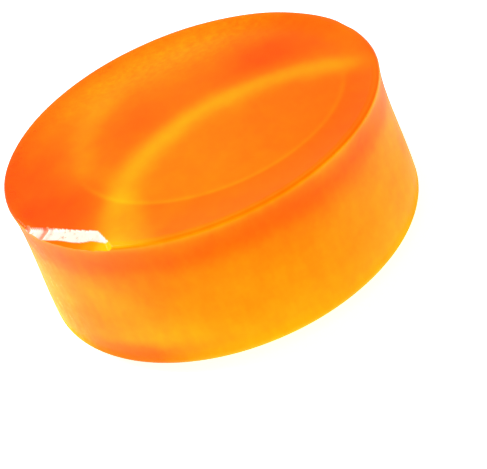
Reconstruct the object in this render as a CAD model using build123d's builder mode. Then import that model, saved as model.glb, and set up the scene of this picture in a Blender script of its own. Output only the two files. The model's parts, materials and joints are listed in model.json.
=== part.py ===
from build123d import *
import math
import os

# A cast cake of bow rosin, bare, as it leaves its mould. Millimetres, +Z up.
# The origin is the middle of the underside. The cake is one casting: a short drum
# with a flared rim, a slight waist under it, a foot that spreads a little and is
# rolled under, and a shallow sunk playing face where the melt drew down as it cooled.

# Overall sizes
rim_diameter = 36.0  # across the rim
cake_height = 14.3  # underside to the top of the rim

# Side wall
waist_inset = 0.18  # how far the waist stands in from the rim, on the radius
waist_drop = 3.2  # how far the waist lies below the rim
foot_spread = 0.24  # how far the foot stands out past the rim, on the radius
foot_round_width = 4.0  # the rolled foot, measured in from the side
foot_round_height = 1.7  # the rolled foot, measured up from the underside
rim_flare = 8.0  # degrees that the wall leans outwards where it meets the rim
rim_round = 0.3  # softened outer edge of the rim

# Playing face: a flat a little off the middle, with the meniscus sloping up to the rim
rim_land = 0.7  # narrow level land round the top of the rim
meniscus_width = 4.0  # from the land in to the face, before the face is shifted
face_recess = 0.4
face_shift_x = 1.8
face_shift_y = 0.4

# Flake broken off the rim: a nearly level shelf, a steeper lip outside it that runs out into the wall,
# and an end face where the break stopped short
flake_direction = 231.4  # degrees round from +X, square to the shelf's straight inner edge
flake_edge = 2.25  # from the rim in to the shelf's inner edge
flake_depth = 0.12  # how far the shelf's inner edge lies below the top of the rim
flake_shelf_width = 1.4
flake_shelf_lean = 6.0  # degrees between the shelf and the level
flake_lip_lean = 20.0  # degrees between the lip outside the shelf and the level
flake_end_shift = 1.1  # from the middle of the inner edge to the corner where the end face starts
flake_end_direction = 190.5  # degrees round from +X that the end face looks
flake_end_lean = 45.0  # degrees between the end face and the level

# Chip struck out of the rim on the other side: a small shell-shaped hollow
chip_direction = 17.0  # degrees round from +X
chip_ball_radius = 40.0
chip_bite = 0.24  # how far the hollow reaches in from the rim
chip_rise = 20.0  # height of the hollow's centre above the rim

rim_radius = rim_diameter / 2
foot_radius = rim_radius + foot_spread
waist_radius = rim_radius - waist_inset
seat_radius = foot_radius - foot_round_width
land_radius = rim_radius - rim_land
face_radius = land_radius - meniscus_width
face_level = cake_height - face_recess


def around(radius, degrees, height):
    """The point at this radius and direction round the axis, at this height."""
    turn = math.radians(degrees)
    return (radius * math.cos(turn), radius * math.sin(turn), height)


# What broke away with the flake. Its section, looking along the inner edge, is drawn outwards and
# upwards from that edge and made longer and wider than the cake.
flake_out = rim_diameter
flake_turn = math.radians(flake_direction)
outward = (math.cos(flake_turn), math.sin(flake_turn), 0)
edge_way = (math.sin(flake_turn), -math.cos(flake_turn), 0)
shelf_drop = flake_shelf_width * math.tan(math.radians(flake_shelf_lean))
lip_drop = (flake_out - flake_shelf_width) * math.tan(math.radians(flake_lip_lean))
edge_middle = Vector(*around(rim_radius - flake_edge, flake_direction, cake_height - flake_depth))
end_corner = edge_middle + Vector(*edge_way) * flake_end_shift
end_lean = math.radians(flake_end_lean)
with BuildPart() as flake:
    with BuildSketch(Plane(origin=edge_middle, x_dir=outward, z_dir=edge_way)):
        with BuildLine():
            Polyline(
                (0, 0),
                (flake_shelf_width, -shelf_drop),
                (flake_out, -shelf_drop - lip_drop),
                (flake_out, cake_height),
                (0, cake_height),
                close=True,
            )
        make_face()
    extrude(amount=rim_diameter, both=True)
    end_normal = around(math.sin(end_lean), flake_end_direction, math.cos(end_lean))
    split(bisect_by=Plane(origin=end_corner, z_dir=end_normal), keep=Keep.TOP)

with BuildPart() as rosin_cake:
    # Half profile, turned about the axis
    with BuildSketch(Plane.XZ):
        with BuildLine():
            Line((0, 0), (seat_radius, 0))
            EllipticalCenterArc(
                (seat_radius, foot_round_height),
                foot_round_width,
                foot_round_height,
                start_angle=270,
                arc_size=90,
            )
            Spline(
                (foot_radius, foot_round_height),
                (waist_radius, cake_height - waist_drop),
                (rim_radius, cake_height),
                tangents=[(0, 1), (math.tan(math.radians(rim_flare)), 1)],
            )
            Line((rim_radius, cake_height), (0, cake_height))
            Line((0, cake_height), (0, 0))
        make_face()
    revolve(axis=Axis.Z)

    # Softened outer edge of the rim
    rim_edge = rosin_cake.edges().filter_by(GeomType.CIRCLE).group_by(Axis.Z)[-1].sort_by(SortBy.RADIUS)[-1]
    fillet(rim_edge, radius=rim_round)

    # Sunk playing face and the meniscus slope round it
    with BuildSketch(Plane.XY.offset(face_level)):
        with Locations((face_shift_x, face_shift_y)):
            Circle(face_radius)
    with BuildSketch(Plane.XY.offset(cake_height)):
        Circle(land_radius)
    loft(ruled=True, mode=Mode.SUBTRACT)

    # Scar of the flake
    add(flake.part, mode=Mode.SUBTRACT)

    # Shell-shaped hollow of the chip: at the rim's height the ball reaches in by chip_bite
    chip_reach = math.sqrt(chip_ball_radius**2 - chip_rise**2)
    with Locations(around(rim_radius - chip_bite + chip_reach, chip_direction, cake_height + chip_rise)):
        Sphere(chip_ball_radius, mode=Mode.SUBTRACT)

rosin_cake.part.label = "rosin_cake"

os.makedirs("parts", exist_ok=True)
export_step(rosin_cake.part, "parts/rosin_cake.step")
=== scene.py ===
import json
import math

import bpy
import numpy as np
from mathutils import Matrix, Vector


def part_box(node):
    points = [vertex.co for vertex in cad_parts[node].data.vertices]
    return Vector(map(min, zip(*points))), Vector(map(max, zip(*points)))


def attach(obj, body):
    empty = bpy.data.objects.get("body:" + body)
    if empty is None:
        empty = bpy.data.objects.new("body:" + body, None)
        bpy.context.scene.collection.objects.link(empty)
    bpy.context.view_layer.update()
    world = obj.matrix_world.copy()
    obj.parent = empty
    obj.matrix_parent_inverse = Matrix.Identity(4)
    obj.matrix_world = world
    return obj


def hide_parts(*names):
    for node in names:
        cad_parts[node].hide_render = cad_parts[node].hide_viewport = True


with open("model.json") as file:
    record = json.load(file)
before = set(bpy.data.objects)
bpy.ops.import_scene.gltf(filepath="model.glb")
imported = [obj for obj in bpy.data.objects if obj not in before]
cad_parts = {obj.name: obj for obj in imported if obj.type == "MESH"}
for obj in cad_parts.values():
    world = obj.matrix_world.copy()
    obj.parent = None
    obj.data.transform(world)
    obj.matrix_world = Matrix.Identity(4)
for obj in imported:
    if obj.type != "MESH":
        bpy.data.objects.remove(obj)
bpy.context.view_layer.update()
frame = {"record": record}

bl_info = {
    "name": "Rosin Cake",
    "version": (1, 0, 0),
    "blender": (4, 5, 0),
    "location": "View3D > Sidebar > Rosin",
    "description": "Casts a bare cake of amber bow rosin and sets it in a plain pale studio",
    "category": "Object",
}

# The cake's places, in metres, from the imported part
NODE = "rosin_cake"
CAKE_LOW, CAKE_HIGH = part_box(NODE)
FACE_CENTRE = next(m["pos_m"] for m in frame["record"]["mounts"] if m["name"] == "playing_face")
MM = 0.001

# The mesh: rows run from the middle of the top, over the rim and down, to the middle of the underside
COLUMNS = 420
COLUMN_CROWDING = 0.55  # how far the columns gather on the flake's side, 0 to 1
TOP_ROWS = 96
TOP_CROWDING = 0.6  # power that gathers the top rows towards the rim
LAND_ROWS = 8
RIM_ROWS = 6
WALL_ROWS = 70
WALL_CROWDING = 1.25  # power that gathers the wall rows towards the rim
FOOT_ROWS = 22
UNDER_ROWS = 14

# The softbox, behind the cake on the left
KEY_TOWARD = Vector((-0.588, 0.415, 0.695))
KEY_DISTANCE = 0.16
KEY_SIZE = 0.085
FLOOR_GAP = 0.02 * MM

# Small shapes that only the look needs
MENISCUS_POWER = 1.7
FACE_SAG = 0.04 * MM
EDGE_BLUR = 0.03 * MM  # depth over which the mark of a broken patch comes on
SHELF_ROUGHNESS = 0.05 * MM
EDGE_WANDER = 0.12 * MM  # how far the shelf's outer edge strays
EDGE_STEEPNESS = 4  # rise over run of the step at the shelf's inner edge
TEAR_START, TEAR_FULL = 5.4 * MM, 6.6 * MM  # along the inner edge, where its far end is torn
TEAR_WIDTH, TEAR_DEPTH = 0.10 * MM, 0.08 * MM

# Places of the painted light and shade and other marks in the rosin, in millimetres across (x, y) or up (z)
POOL_CENTRE, POOL_RADIUS = (6.1, -13.7), 16.6
FACE_RING_CENTRE, FACE_RING_RADIUS = (1.8, 0.4), 13.0
TAIL_X, TAIL_WIDTH = -7.6, 1.5
FLAKE_FOOT = (-9.8, -14.8)
BAND_HEIGHT, BAND_WIDTH = 12.3, 1.3
DARK_PATCH_CENTRE, DARK_PATCH_SIZE = (-11.5, -14.5), 5.0
GLEAM_CENTRE, GLEAM_HEIGHT = (-8.0, -16.0), 4.6


class RosinSizes(bpy.types.PropertyGroup):
    """The cake's sizes: lengths in metres, angles in radians."""

    foot_radius: bpy.props.FloatProperty(
        name="Foot radius", description="Radius where the foot stands out most",
        default=CAKE_HIGH.x, unit="LENGTH")
    height: bpy.props.FloatProperty(
        name="Height", description="Underside to the top of the rim",
        default=CAKE_HIGH.z, unit="LENGTH")
    foot_spread: bpy.props.FloatProperty(
        name="Foot spread", description="How far the foot stands out past the rim",
        default=0.24 * MM, unit="LENGTH")
    waist_inset: bpy.props.FloatProperty(
        name="Waist inset", description="How far the waist stands in from the rim",
        default=0.18 * MM, unit="LENGTH")
    waist_drop: bpy.props.FloatProperty(
        name="Waist drop", description="How far the waist lies below the rim",
        default=3.2 * MM, unit="LENGTH")
    foot_round_width: bpy.props.FloatProperty(
        name="Foot roll width", description="The rolled foot, measured in from the side",
        default=4.0 * MM, unit="LENGTH")
    foot_round_height: bpy.props.FloatProperty(
        name="Foot roll height", description="The rolled foot, measured up from the underside",
        default=1.7 * MM, unit="LENGTH")
    rim_flare: bpy.props.FloatProperty(
        name="Rim flare", description="Outward lean of the wall where it meets the rim",
        default=math.radians(8.0), subtype="ANGLE")
    rim_round: bpy.props.FloatProperty(
        name="Rim edge", description="Radius of the rim's softened outer edge",
        default=0.3 * MM, unit="LENGTH")
    rim_land: bpy.props.FloatProperty(
        name="Rim land", description="Width of the level land round the rim",
        default=0.7 * MM, unit="LENGTH")
    meniscus_width: bpy.props.FloatProperty(
        name="Meniscus width", description="From the land in to the playing face",
        default=4.0 * MM, unit="LENGTH")
    flake_direction: bpy.props.FloatProperty(
        name="Flake direction", description="Direction round from +X square to the shelf's inner edge",
        default=math.radians(231.4), subtype="ANGLE")
    flake_edge: bpy.props.FloatProperty(
        name="Flake edge", description="From the rim in to the shelf's inner edge",
        default=2.4 * MM, unit="LENGTH")
    flake_depth: bpy.props.FloatProperty(
        name="Flake depth", description="How far the shelf's inner edge lies below the rim",
        default=0.21 * MM, unit="LENGTH")
    flake_shelf: bpy.props.FloatProperty(
        name="Flake shelf", description="Width of the white shelf left by the flake",
        default=1.4 * MM, unit="LENGTH")
    flake_shelf_lean: bpy.props.FloatProperty(
        name="Shelf lean", description="Angle between the shelf and the level",
        default=math.radians(1.5), subtype="ANGLE")
    flake_lip_lean: bpy.props.FloatProperty(
        name="Lip lean", description="Angle between the lip outside the shelf and the level",
        default=math.radians(5.0), subtype="ANGLE")
    flake_end_shift: bpy.props.FloatProperty(
        name="Flake end", description="From the middle of the inner edge to the corner of the end face",
        default=1.1 * MM, unit="LENGTH")
    flake_end_direction: bpy.props.FloatProperty(
        name="End direction", description="Direction round from +X that the end face looks",
        default=math.radians(190.5), subtype="ANGLE")
    flake_end_lean: bpy.props.FloatProperty(
        name="End lean", description="Angle between the end face and the level",
        default=math.radians(45.0), subtype="ANGLE")
    chip_direction: bpy.props.FloatProperty(
        name="Chip direction", description="Direction of the shell-shaped chip round from +X",
        default=math.radians(17.0), subtype="ANGLE")
    chip_ball: bpy.props.FloatProperty(
        name="Chip ball", description="Radius of the ball that shapes the chip's hollow",
        default=40.0 * MM, unit="LENGTH")
    chip_bite: bpy.props.FloatProperty(
        name="Chip bite", description="How far the chip reaches in from the rim",
        default=0.24 * MM, unit="LENGTH")
    chip_rise: bpy.props.FloatProperty(
        name="Chip rise", description="Height of the chip's ball centre above the rim",
        default=20.0 * MM, unit="LENGTH")
    ripple: bpy.props.FloatProperty(
        name="Casting ripple", description="Depth of the cooling ripples on the wall",
        default=0.05 * MM, unit="LENGTH")


class RosinFinish(bpy.types.PropertyGroup):
    """The cast rosin's colours and gloss."""

    # Deep amber, amber and light amber are the stops of the ramp that paints the rosin's tone together with
    # painted light and shade: deep where it is painted darkest, light amber where it is painted lightest
    deep: bpy.props.FloatVectorProperty(
        name="Deep amber", description="Colour where the rosin is thick and clear",
        default=(0.90, 0.03, 0.0), size=3, min=0, max=1, subtype="COLOR")
    middle: bpy.props.FloatVectorProperty(
        name="Amber", description="Colour of most of the rosin",
        default=(1.0, 0.20, 0.0), size=3, min=0, max=1, subtype="COLOR")
    light: bpy.props.FloatVectorProperty(
        name="Light amber", description="Colour where light gathers in the rosin",
        default=(1.0, 0.60, 0.004), size=3, min=0, max=1, subtype="COLOR")
    powder: bpy.props.FloatVectorProperty(
        name="Powder", description="Colour of the yellow powder down the left wall",
        default=(1.0, 0.78, 0.25), size=3, min=0, max=1, subtype="COLOR")
    # The bloom colour is partly crushed rosin and partly a painted glint: the shelf gives it off as light of
    # its own
    bloom_and_glint: bpy.props.FloatVectorProperty(
        name="Bloom", description="Colour of crushed rosin",
        default=(1.0, 0.93, 0.78), size=3, min=0, max=1, subtype="COLOR")
    grime: bpy.props.FloatVectorProperty(
        name="Brown grain", description="Colour of the rough, browned rosin at the rim",
        default=(0.30, 0.06, 0.0), size=3, min=0, max=1, subtype="COLOR")
    sheen: bpy.props.FloatVectorProperty(
        name="Gloss tint", description="Tint of the reflections",
        default=(1.0, 0.42, 0.03), size=3, min=0, max=1, subtype="COLOR")
    # Painted glow: the rosin and its skin give off their painted colour as light of their own, standing in
    # for light that passes through the rosin
    glow: bpy.props.FloatProperty(
        name="Inner glow", description="Light scattered back out of the cloudy rosin", default=0.55)
    skin_glow: bpy.props.FloatProperty(
        name="Skin glow", description="Light scattered back by the cloudy skin", default=0.45)
    depth_colour: bpy.props.FloatVectorProperty(
        name="Depth tint", description="Colour that the rosin passes",
        default=(0.9987, 0.933, 0.0), size=3, min=0, max=1, subtype="COLOR")
    depth_density: bpy.props.FloatProperty(
        name="Depth density", description="How fast the rosin takes up light, per metre", default=900.0)
    index: bpy.props.FloatProperty(
        name="Refractive index", description="Refractive index of rosin", default=1.54)


class RosinStudio(bpy.types.PropertyGroup):
    """The floor, the lights and the camera."""

    floor_size: bpy.props.FloatProperty(
        name="Floor size", description="Side of the pale floor", default=1.2, unit="LENGTH")
    floor_glow: bpy.props.FloatProperty(
        name="Floor glow", description="Light given off by the pale floor", default=0.86)
    sky: bpy.props.FloatProperty(
        name="Room light", description="Strength of the even light of the room", default=0.24)
    key: bpy.props.FloatProperty(
        name="Key power", description="Power of the softbox behind on the left, in watts", default=0.22)
    elevation: bpy.props.FloatProperty(
        name="Camera height", description="Angle of the camera above the level",
        default=math.radians(31.5), subtype="ANGLE")
    roll: bpy.props.FloatProperty(
        name="Camera roll", description="Turn of the camera about its line of sight",
        default=math.radians(22.6), subtype="ANGLE")
    distance: bpy.props.FloatProperty(
        name="Camera distance", description="Camera to the middle of the cake",
        default=0.1431, unit="LENGTH")
    lens: bpy.props.FloatProperty(
        name="Lens", description="Focal length in millimetres", default=113.5)
    aim_right: bpy.props.FloatProperty(
        name="Aim right", description="How far the camera aims to the right of the cake",
        default=math.radians(1.135), subtype="ANGLE")
    aim_down: bpy.props.FloatProperty(
        name="Aim down", description="How far the camera aims below the cake",
        default=math.radians(1.973), subtype="ANGLE")


def waves(across, along, count, seed):
    """Soft noise between 0 and 1: the mean of sine waves of whole numbers round the circle and random
    slopes along the other way, each with its own phase."""
    draw = np.random.default_rng(seed)
    total = np.zeros(np.broadcast(across, along).shape)
    for _ in range(count):
        total += np.sin(draw.integers(2, 15) * across + draw.uniform(-2.5, 2.5) * along
                        + draw.uniform(0, 2 * math.pi))
    return 0.5 + 0.5 * np.clip(total / (1.6 * math.sqrt(count)), -1, 1)


def smooth(value, low, high):
    """0 below low, 1 above high, and the cubic 3t2 - 2t3 between them."""
    share = np.clip((value - low) / (high - low), 0, 1)
    return share * share * (3 - 2 * share)


def hermite(start, end, start_slope, end_slope, share):
    """The cubic from start to end with these slopes over a share of 0 to 1."""
    square, cube = share**2, share**3
    return (start * (2 * cube - 3 * square + 1) + start_slope * (cube - 2 * square + share)
            + end * (3 * square - 2 * cube) + end_slope * (cube - square))


def outline(sizes):
    """Radius, height and kind of each row of the cake: 0 on top, 1 on the wall, 2 on the foot and 3 below.
    The rim's edge is a quarter circle, the wall is two cubics that meet upright at the waist, and the
    foot is a quarter ellipse."""
    rim = sizes.foot_radius - sizes.foot_spread
    land = rim - sizes.rim_land
    top = sizes.height
    waist_height = top - sizes.waist_drop
    foot_top = sizes.foot_round_height
    edge = sizes.rim_round
    share = np.linspace(0, 1, TOP_ROWS)
    top_radius = land * share**TOP_CROWDING
    land_radius = np.linspace(land, rim - edge, LAND_ROWS + 1)[1:]
    turn = np.linspace(0, math.pi / 2, RIM_ROWS + 1)[1:]
    rim_radius = rim - edge + edge * np.sin(turn)
    rim_height = top - edge + edge * np.cos(turn)
    drop = np.linspace(0, 1, WALL_ROWS + 1)[1:] ** WALL_CROWDING
    wall_height = (top - edge) + (foot_top - (top - edge)) * drop
    upper = np.clip((wall_height - waist_height) / (top - edge - waist_height), 0, 1)
    lower = np.clip((wall_height - foot_top) / (waist_height - foot_top), 0, 1)
    waist = rim - sizes.waist_inset
    flare_rise = math.tan(sizes.rim_flare) * (top - edge - waist_height)
    wall_radius = np.where(wall_height > waist_height,
                           hermite(waist, rim, 0.0, flare_rise, upper),
                           hermite(sizes.foot_radius, waist, 0.0, 0.0, lower))
    turn = np.linspace(0, math.pi / 2, FOOT_ROWS + 1)[1:]
    seat = sizes.foot_radius - sizes.foot_round_width
    foot_radius = seat + sizes.foot_round_width * np.cos(turn)
    foot_height = foot_top - foot_top * np.sin(turn)
    under_radius = seat * np.linspace(1, 0, UNDER_ROWS + 1)[1:]
    radius = np.concatenate([top_radius, land_radius, rim_radius, wall_radius, foot_radius, under_radius])
    height = np.concatenate([np.full(TOP_ROWS + LAND_ROWS, top), rim_height, wall_height, foot_height,
                             np.zeros(UNDER_ROWS)])
    kind = np.repeat([0, 1, 2, 3], [TOP_ROWS + LAND_ROWS, RIM_ROWS + WALL_ROWS, FOOT_ROWS, UNDER_ROWS])
    return radius, height, kind


def sunk_face(x, y, sizes):
    """Height of the top: level inside the playing face, then rising to the land as the 1.7th power of the
    way from the face's edge to the land, measured straight out from the face's own centre."""
    land = sizes.foot_radius - sizes.foot_spread - sizes.rim_land
    edge = land - sizes.meniscus_width
    out_x, out_y = x - FACE_CENTRE[0], y - FACE_CENTRE[1]
    out = np.hypot(out_x, out_y)
    safe = np.maximum(out, 1e-9)
    along = (FACE_CENTRE[0] * out_x + FACE_CENTRE[1] * out_y) / safe
    reach = -along + np.sqrt(along**2 + land**2 - FACE_CENTRE[0]**2 - FACE_CENTRE[1]**2)
    share = np.clip((out - edge) / (reach - edge), 0, 1)
    sag = FACE_SAG * np.cos(np.clip(out / edge, 0, 1) * math.pi / 2) ** 2
    return FACE_CENTRE[2] + (sizes.height - FACE_CENTRE[2]) * share**MENISCUS_POWER - sag


def flake_scar(x, y, z, sizes):
    """The height after the flake has gone, and the marks of its scar and of the shelf alone.
    The new height is the lower of the surface and a cut. The cut is a nearly level shelf outside a straight
    inner edge, then a steeper lip, and it is nowhere under the leaning end face. Sines of the way along
    the edge roughen the shelf, make its outer edge wander and tear its far end."""
    turn, end_turn = sizes.flake_direction, sizes.flake_end_direction
    edge = sizes.foot_radius - sizes.foot_spread - sizes.flake_edge
    out = x * math.cos(turn) + y * math.sin(turn) - edge
    along = x * math.sin(turn) - y * math.cos(turn)
    corner_x = edge * math.cos(turn) + sizes.flake_end_shift * math.sin(turn)
    corner_y = edge * math.sin(turn) - sizes.flake_end_shift * math.cos(turn)
    end_out = (x - corner_x) * math.cos(end_turn) + (y - corner_y) * math.sin(end_turn)

    rough = (0.5 + 0.5 * np.sin(along / (0.33 * MM) + 2.2 * np.sin(along / (1.1 * MM)))) * SHELF_ROUGHNESS
    torn = smooth(along, TEAR_START, TEAR_FULL)
    ragged = np.sin(along / (0.21 * MM) + 1.9 * np.sin(along / (0.47 * MM)))
    inner = out + TEAR_WIDTH * torn * ragged
    wander = EDGE_WANDER * np.sin(along / (0.8 * MM) + 1.5 * np.sin(along / (2.3 * MM)))
    outer = out + wander - sizes.flake_shelf

    start = sizes.height - sizes.flake_depth
    cut = start - np.minimum(out, sizes.flake_shelf) * math.tan(sizes.flake_shelf_lean)
    cut = cut - rough * smooth(out, 0, 0.3 * MM) - torn * TEAR_DEPTH * (1 + ragged)
    cut = cut - np.maximum(outer, 0) * math.tan(sizes.flake_lip_lean)
    cut = np.maximum(cut, start - end_out * math.tan(sizes.flake_end_lean))
    cut = cut + np.maximum(-inner, 0) * EDGE_STEEPNESS
    scar = smooth(z - cut, 0.0, EDGE_BLUR)
    shelf = scar * smooth(-outer, -0.05 * MM, 0.08 * MM)
    shelf = shelf * (1 - torn * smooth(ragged, -0.2, 0.5) * 0.75)
    return np.minimum(z, np.maximum(cut, 0)), scar, shelf


def chip_hollow(x, y, z, sizes):
    """The height after the chip has gone, the lower of the surface and the underside of a ball, and the
    mark of its hollow."""
    turn = sizes.chip_direction
    rim = sizes.foot_radius - sizes.foot_spread
    middle = rim - sizes.chip_bite + math.sqrt(sizes.chip_ball**2 - sizes.chip_rise**2)
    off = np.hypot(x - middle * math.cos(turn), y - middle * math.sin(turn))
    ball = sizes.height + sizes.chip_rise - np.sqrt(np.maximum(sizes.chip_ball**2 - off**2, 0))
    inside = off < sizes.chip_ball
    chip = np.where(inside, smooth(z - ball, 0.0, EDGE_BLUR), 0.0)
    return np.where(inside, np.minimum(z, ball), z), chip


def cake_surface(sizes):
    """Points of the closed surface as rows by columns, with the marks of the scar, shelf and chip.
    Each row is a circle of the outline, pushed in on the wall by ripples. The columns stand closer together
    on the flake's side, by a sine of the way round."""
    radius, height, kind = outline(sizes)
    even = np.linspace(0, 2 * math.pi, COLUMNS, endpoint=False)
    angle = even - COLUMN_CROWDING * np.sin(even - sizes.flake_direction)
    side = ((kind == 1) | (kind == 2))[:, None] * smooth(height, 0.0, 2.5 * MM)[:, None]
    round_it = np.broadcast_to(angle[None, :], (len(radius), COLUMNS))
    up = (height / sizes.height * 6)[:, None]
    push = sizes.ripple * side * (0.7 * waves(round_it, up, 14, 5) + 0.3 * waves(round_it, 4 * up, 14, 8))
    ring = radius[:, None] - push
    x, y = ring * np.cos(angle), ring * np.sin(angle)
    z = np.broadcast_to(height[:, None], x.shape).copy()
    top = kind == 0
    z[top] = sunk_face(x[top], y[top], sizes)
    z, scar, shelf = flake_scar(x, y, z, sizes)
    z, chip = chip_hollow(x, y, z, sizes)
    return np.stack([x, y, z], axis=-1), {"scar": scar, "shelf": shelf, "chip": chip}


def closed_mesh(name, points, marks):
    """A mesh of rows of rings, closed round each ring, whose first and last rows each shrink to one point.
    marks are point attributes of the same rows and columns."""
    rows, columns = points.shape[:2]
    inner = points[1:-1].reshape(-1, 3)
    corners = np.concatenate([points[0].mean(axis=0)[None], inner, points[-1].mean(axis=0)[None]])
    index = 1 + np.arange((rows - 2) * columns).reshape(rows - 2, columns)
    onward = np.roll(index, -1, axis=1)
    quads = np.stack([index[:-1], index[1:], onward[1:], onward[:-1]], axis=-1).reshape(-1, 4)
    last = len(corners) - 1
    first_fan = np.stack([np.zeros(columns, int), index[0], onward[0]], axis=-1)
    last_fan = np.stack([index[-1], np.full(columns, last), onward[-1]], axis=-1)
    mesh = bpy.data.meshes.new(name)
    mesh.from_pydata(corners.tolist(), [], first_fan.tolist() + quads.tolist() + last_fan.tolist())
    mesh.polygons.foreach_set("use_smooth", np.ones(len(mesh.polygons), bool))
    for mark, values in marks.items():
        flat = np.concatenate([values[0].mean()[None], values[1:-1].ravel(), values[-1].mean()[None]])
        mesh.attributes.new(mark, "FLOAT", "POINT").data.foreach_set("value", flat.astype(np.float32))
    mesh.update()
    piece = bpy.data.objects.new(name, mesh)
    bpy.context.scene.collection.objects.link(piece)
    return piece


class Wire:
    """A shader value. Arithmetic on it adds Math nodes."""

    def __init__(self, tree, socket):
        self.tree = tree
        self.socket = socket

    def math(self, operation, *values):
        return self.tree.node("ShaderNodeMath", {"operation": operation}, dict(enumerate((self, *values))))

    def __add__(self, other):
        return self.math("ADD", other)

    __radd__ = __add__

    def __mul__(self, other):
        return self.math("MULTIPLY", other)

    __rmul__ = __mul__

    def __sub__(self, other):
        return self.math("SUBTRACT", other)

    def __rsub__(self, other):
        return self * -1 + other

    def __truediv__(self, other):
        return self.math("DIVIDE", other)

    def hill(self, width):
        """1 where the value is 0, falling off as a bell of this width."""
        scaled = self / width
        return (scaled * scaled * -1).math("EXPONENT")

    def step(self, low, high):
        """0 at low, 1 at high, eased between them; low may be the larger."""
        inputs = {"Value": self, "From Min": low, "From Max": high}
        return self.tree.node("ShaderNodeMapRange", {"interpolation_type": "SMOOTHSTEP"}, inputs)


class Tree:
    """The node tree of a new material."""

    def __init__(self, name):
        self.material = bpy.data.materials.new(name)
        self.material.use_nodes = True
        self.nodes = self.material.node_tree.nodes
        self.nodes.clear()

    def node(self, kind, settings, inputs, output=0):
        """Adds a node, sets its settings, then sets or links its inputs, and returns one output, if any."""
        made = self.nodes.new(kind)
        for name, value in settings.items():
            if name == "stops":
                for stop, (place, colour) in zip(self.stops_of(made, len(value)), value):
                    stop.position = place
                    stop.color = (*colour, 1.0)
            else:
                setattr(made, name, value)
        for name, value in inputs.items():
            if isinstance(value, Wire):
                self.material.node_tree.links.new(value.socket, made.inputs[name])
            else:
                made.inputs[name].default_value = value
        return Wire(self, made.outputs[output]) if made.outputs else None

    def split(self, vector):
        """The three coordinates of a vector."""
        first = self.node("ShaderNodeSeparateXYZ", {}, {"Vector": vector}, "X")
        return first, *(Wire(self, first.socket.node.outputs[axis]) for axis in "YZ")

    def blend(self, share, first, second):
        """The first colour, going over to the second by the share."""
        return self.node("ShaderNodeMix", {"data_type": "RGBA"}, {"Factor": share, "A": first, "B": second},
                         "Result")

    def mark(self, name):
        """A mark that the mesh carries, 0 to 1."""
        return self.node("ShaderNodeAttribute", {"attribute_name": name}, {}, "Fac")

    def stops_of(self, ramp, count):
        """A ramp's stops, made up to this many."""
        stops = ramp.color_ramp.elements
        while len(stops) < count:
            stops.new(0.5)
        return stops

    def noise(self, place, scale, stretch=(1, 1, 1), shift=(0, 0, 0), detail=3.0, roughness=0.55):
        """Noise about 0, roughly -0.5 to 0.5. scale is in cells per millimetre."""
        moved = self.node("ShaderNodeMapping", {}, {"Vector": place, "Scale": stretch, "Location": shift})
        made = self.node("ShaderNodeTexNoise", {}, {"Vector": moved, "Scale": scale, "Detail": detail,
                                                     "Roughness": roughness})
        return made - 0.5


def top_shade(x, y, drift, cloud, mottle, distance, blob):
    """How light the top is painted: a painted pool of light inside a painted bright arc, a painted streak of
    light from it to the flake, a painted spot of light at the flake's foot, painted glow, highlight and
    shade round the soft ring of the meniscus, lighter mottled rosin at the back and darker patches."""
    # Painted pool of light, with painted shade outside it
    pool = distance(*POOL_CENTRE) - POOL_RADIUS + drift * 0.8
    ring = distance(*FACE_RING_CENTRE) - FACE_RING_RADIUS
    near = y.step(-1.0, -5.0)
    left = x.step(-3.0, -9.0)
    # Painted bright arc along the pool's edge
    arc = (pool + 0.8).hill(1.8) * x.step(19.0, 13.5)
    # Painted streak of light from the arc down to the flake
    tail = (x - TAIL_X + drift * 0.6).hill(TAIL_WIDTH) * y.step(-5.5, -8.5)
    return (drift * 0.16 + cloud * 0.09 + 0.41
            + pool.step(0.6, -1.4) * 0.10 + arc * 0.30 + tail * 0.18
            # painted glow, highlight and shade round the meniscus ring
            + (ring + 0.8).hill(2.0) * left * y.step(-7.0, 0.0) * 0.17
            + ring.hill(0.28) * near * 0.10 - ring.step(-0.3, 0.5) * near * 0.07
            + y.step(6.0, 16.0) * (x.step(14.0, 2.0) * 0.20 + mottle * 0.5)
            - blob(-14.5, -5.0, 5.0) * 0.15 - blob(-16.0, 2.0, 5.0) * 0.16 - blob(-4.5, 4.0, 3.2) * 0.10
            - blob(9.5, 6.2, 5.0) * 0.22 - x.step(0.0, 14.0) * y.step(3.0, -4.0) * 0.12
            # painted spot of light at the flake's foot
            + blob(*FLAKE_FOOT, 1.3) * 0.25)


def wall_shade(x, z, drift, cloud, mottle, blob):
    """How light the wall is painted: a dark band under the rim with a painted highlight just above it,
    painted light from the glowing floor that grows towards the foot, small dark specks, a painted gleam and
    a darker patch low on the near left, and slightly different sides."""
    band = (z - BAND_HEIGHT + drift * 1.2).hill(BAND_WIDTH)
    dark_patch = blob(*DARK_PATCH_CENTRE, DARK_PATCH_SIZE) * z.step(4.2, 2.2)
    # Painted gleam low on the near left of the wall
    gleam = (z - GLEAM_HEIGHT).hill(1.6) * blob(*GLEAM_CENTRE, 5.0)
    specks = mottle.step(0.16, 0.30)
    return (drift * 0.22 + cloud * 0.16 + mottle * 0.12 + 0.50 - specks * 0.12 - band * 0.17
            # painted highlight just under the rim, then painted light from the floor growing towards the
            # foot
            + z.step(13.2, 14.2) * 0.10 + z.step(12.0, 7.0) * 0.15 + z.step(7.0, 1.0) * 0.10
            + gleam * 0.12 - dark_patch * 0.38
            - x.step(10.0, 17.0) * 0.04 + x.step(-12.0, -18.0) * 0.02
            + x.step(12.0, 16.0) * z.step(6.0, 11.0) * 0.10
            - blob(-14.5, -10.5, 5.0) * z.step(9.0, 4.0) * 0.20)


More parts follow.
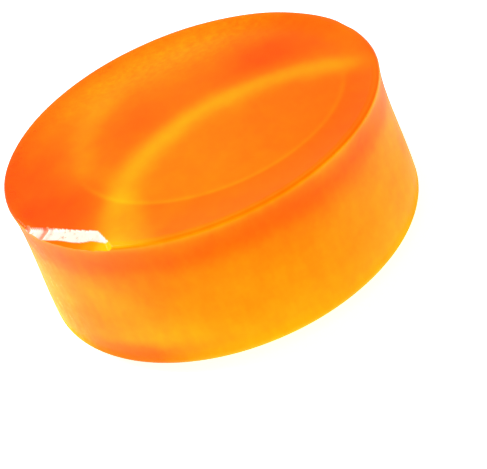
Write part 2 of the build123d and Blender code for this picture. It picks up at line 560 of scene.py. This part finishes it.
def cast_rosin(finish):
    """Amber rosin: clear and deep, with cloudy drifts inside, painted gathered light and painted shade that
    it gives off as a painted glow, a cloudy skin, brown grain and powder at its edges, and white where it is
    broken, partly crushed rosin and partly a painted glint."""
    tree = Tree("cast_rosin")
    place = tree.node("ShaderNodeTexCoord", {}, {}, "Object")
    place = tree.node("ShaderNodeVectorMath", {"operation": "SCALE"}, {"Vector": place, "Scale": 1 / MM})
    x, y, z = tree.split(place)
    up = tree.split(tree.node("ShaderNodeNewGeometry", {}, {}, "Normal"))[2]
    on_top = up.step(0.35, 0.75) * z.step(13.0, 13.4)
    scar, shelf, chip = tree.mark("scar"), tree.mark("shelf"), tree.mark("chip")
    lip = scar - shelf

    def distance(centre_x, centre_y):
        dx, dy = x - centre_x, y - centre_y
        return (dx * dx + dy * dy).math("SQRT")

    def blob(centre_x, centre_y, size):
        return distance(centre_x, centre_y).hill(size)

    drift = tree.noise(place, 0.16, (1, 1, 1.6), (3.1, 0.7, 5.2), 3.0)
    cloud = tree.noise(place, 0.42, (1.5, 1, 0.6), (9.0, 2.0, 1.0), 4.0)
    mottle = tree.noise(place, 1.5, (1, 1, 1), (4.0, 8.0, 2.0), 4.0, 0.65)
    grain = tree.noise(place, 5.0, (1, 1, 1), (1.0, 5.0, 3.0), 2.0)

    # Colour by how light the rosin is painted, from deep through amber to light: its own tone with painted
    # light and shade, also given off as a painted glow
    top = top_shade(x, y, drift, cloud, mottle, distance, blob)
    wall = wall_shade(x, z, drift, cloud, mottle, blob)
    # Painted highlight along the near rim
    near_rim_highlight = z.step(13.6, 14.2) * distance(0, 0).step(17.0, 17.8) * y.step(-1.0, -5.0)
    # Painted light on the right part of the scar's lip
    lit_lip = lip * x.step(-15.0, -9.5)
    shade = wall + (top - wall) * on_top + lit_lip * 0.22 + near_rim_highlight * 0.12
    colour = tree.node("ShaderNodeValToRGB", {"stops": [
        (0.0, finish.deep), (0.45, finish.middle), (1.0, finish.light)]}, {"Fac": shade})

    # Brown grain round the far-left rim, and powder down the left wall
    edge = z.step(13.2, 14.2) * distance(0, 0).step(14.5, 17.9) * (y - x * 0.9).step(4.0, 16.0)
    speck = (mottle + grain * 0.6 + 0.1).step(0.0, 0.45)
    colour = tree.blend(edge * (speck * 0.40 + 0.35), colour, (*finish.grime, 1))
    dust = (mottle + 0.12).step(0.0, 0.5) * x.step(-14.0, -18.0) * z.step(14.2, 12.0) * 0.30
    colour = tree.blend(dust, colour, (*finish.powder, 1))

    # Clear rosin, which also gives off its painted light and shade as a painted glow
    relief = mottle * 0.5 + grain * 0.25 + drift
    bump = tree.node("ShaderNodeBump", {}, {"Height": relief, "Strength": 0.25, "Distance": 0.05 * MM})
    rough = dust * 0.4 + (mottle + 0.5) * 0.10 + 0.16
    clear = tree.node("ShaderNodeBsdfPrincipled", {}, {
        "Base Color": colour, "Roughness": rough, "Normal": bump, "Emission Color": colour,
        "Emission Strength": finish.glow, "Transmission Weight": 1.0, "IOR": finish.index,
        "Specular Tint": (*finish.sheen, 1)})

    # Cloudy skin: more of it down the two sides, on the rolled foot and on the lip of the scar. It too gives
    # off the painted light and shade as a painted glow
    skin = tree.node("ShaderNodeBsdfPrincipled", {}, {
        "Base Color": colour, "Roughness": 0.5, "Specular IOR Level": 0.0,
        "Emission Color": colour, "Emission Strength": finish.skin_glow})
    sides = x.math("ABSOLUTE").step(9.0, 17.5)
    cloudy = (sides * 0.40 + z.step(3.0, 0.8) * 0.50) * (1 - on_top) + cloud * 0.2 + lip * 0.35 + 0.35
    body = tree.node("ShaderNodeMixShader", {}, {0: cloudy.math("MINIMUM", 0.92), 1: clear, 2: skin})

    # White on the shelf, partly crushed rosin and partly a painted glint that glows, and a trace of it in
    # the chip
    crushed_bump = tree.node("ShaderNodeBump", {}, {
        "Height": grain + mottle, "Strength": 0.5, "Distance": 0.08 * MM})
    crushed = tree.node("ShaderNodeBsdfPrincipled", {}, {
        "Base Color": (*finish.bloom_and_glint, 1), "Roughness": 0.32, "Normal": crushed_bump,
        "Emission Color": (*finish.bloom_and_glint, 1), "Emission Strength": 0.35})
    broken = (mottle + grain * 0.6 + 0.75).step(0.35, 0.7)
    white = shelf * broken * 0.95 + chip * broken * 0.12
    surface = tree.node("ShaderNodeMixShader", {}, {0: white, 1: body, 2: crushed})

    depth = tree.node("ShaderNodeVolumeAbsorption", {}, {
        "Color": (*finish.depth_colour, 1), "Density": finish.depth_density})
    tree.node("ShaderNodeOutputMaterial", {}, {"Surface": surface, "Volume": depth})
    return tree.material


class ROSIN_OT_cast_cake(bpy.types.Operator):
    """Cast the cake: its closed surface, its finish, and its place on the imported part"""

    bl_idname = "rosin.cast_cake"
    bl_label = "Cast the cake"

    def execute(self, context):
        points, marks = cake_surface(context.scene.rosin_sizes)
        cake = closed_mesh("cast_cake", points, marks)
        cake.data.materials.append(cast_rosin(context.scene.rosin_finish))
        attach(cake, "root")
        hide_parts(NODE)
        return {"FINISHED"}


def plain(name, colour, strength):
    """A matt colour that gives off a little light of its own."""
    tree = Tree(name)
    matt = tree.node("ShaderNodeBsdfPrincipled", {}, {
        "Base Color": colour, "Roughness": 0.9, "Specular IOR Level": 0.1,
        "Emission Color": (1, 1, 1, 1), "Emission Strength": strength})
    tree.node("ShaderNodeOutputMaterial", {}, {"Surface": matt})
    return tree.material


def softbox(name, toward, distance, size, power, target):
    """A square soft light that shines on the target from the direction toward."""
    data = bpy.data.lights.new(name, "AREA")
    data.size = size
    data.energy = power
    light = bpy.data.objects.new(name, data)
    light.location = target + toward.normalized() * distance
    light.rotation_euler = toward.to_track_quat("Z", "Y").to_euler()
    bpy.context.scene.collection.objects.link(light)


class ROSIN_OT_studio(bpy.types.Operator):
    """Set the pale floor, the soft lights and the camera round the cake"""

    bl_idname = "rosin.studio"
    bl_label = "Set the studio"

    def execute(self, context):
        scene = context.scene
        studio = scene.rosin_studio
        half = studio.floor_size / 2
        mesh = bpy.data.meshes.new("floor")
        below = CAKE_LOW.z - FLOOR_GAP
        corners = [(-half, -half, below), (half, -half, below), (half, half, below), (-half, half, below)]
        mesh.from_pydata(corners, [], [(0, 1, 2, 3)])
        floor = bpy.data.objects.new("floor", mesh)
        scene.collection.objects.link(floor)
        floor.data.materials.append(plain("pale_floor", (0.92, 0.92, 0.92, 1), studio.floor_glow))

        world = bpy.data.worlds.new("room")
        world.use_nodes = True
        world.node_tree.nodes["Background"].inputs["Color"].default_value = (1, 1, 1, 1)
        world.node_tree.nodes["Background"].inputs["Strength"].default_value = studio.sky
        scene.world = world

        middle = Vector((0, 0, CAKE_HIGH.z / 2))
        softbox("key_light", KEY_TOWARD, KEY_DISTANCE, KEY_SIZE, studio.key, middle)

        tilt, roll = studio.elevation, studio.roll
        back = Vector((0, -math.cos(tilt), math.sin(tilt)))
        level = Vector((1, 0, 0))
        above = Vector((0, math.sin(tilt), math.cos(tilt)))
        right = level * math.cos(roll) - above * math.sin(roll)
        upward = level * math.sin(roll) + above * math.cos(roll)
        place = middle + back * studio.distance
        aim = (-back + right * math.tan(studio.aim_right) - upward * math.tan(studio.aim_down)).normalized()
        side = aim.cross(upward).normalized()
        lens_up = side.cross(aim)
        turned = Matrix((side, lens_up, -aim)).transposed().to_4x4()
        turned.translation = place
        data = bpy.data.cameras.new("camera")
        data.lens = studio.lens
        data.clip_start = 0.005
        camera = bpy.data.objects.new("camera", data)
        camera.matrix_world = turned
        scene.collection.objects.link(camera)
        scene.camera = camera
        scene.view_settings.view_transform = "Standard"
        return {"FINISHED"}


class ROSIN_PT_panel(bpy.types.Panel):
    """Sizes, finish and studio of the rosin cake"""

    bl_label = "Rosin cake"
    bl_idname = "ROSIN_PT_panel"
    bl_space_type = "VIEW_3D"
    bl_region_type = "UI"
    bl_category = "Rosin"

    def draw(self, context):
        for operator in (ROSIN_OT_cast_cake, ROSIN_OT_studio):
            self.layout.operator(operator.bl_idname)
        for group in (context.scene.rosin_sizes, context.scene.rosin_finish, context.scene.rosin_studio):
            box = self.layout.box()
            for name in group.bl_rna.properties.keys():
                if name not in ("rna_type", "name"):
                    box.prop(group, name)


GROUPS = {"rosin_sizes": RosinSizes, "rosin_finish": RosinFinish, "rosin_studio": RosinStudio}
CLASSES = (*GROUPS.values(), ROSIN_OT_cast_cake, ROSIN_OT_studio, ROSIN_PT_panel)


def register():
    for made in CLASSES:
        bpy.utils.register_class(made)
    for name, group in GROUPS.items():
        setattr(bpy.types.Scene, name, bpy.props.PointerProperty(type=group))


def unregister():
    for name in GROUPS:
        delattr(bpy.types.Scene, name)
    for made in reversed(CLASSES):
        bpy.utils.unregister_class(made)


def main():
    register()
    bpy.ops.rosin.cast_cake()
    bpy.ops.rosin.studio()
    bpy.context.view_layer.update()


if __name__ == "__main__":
    main()
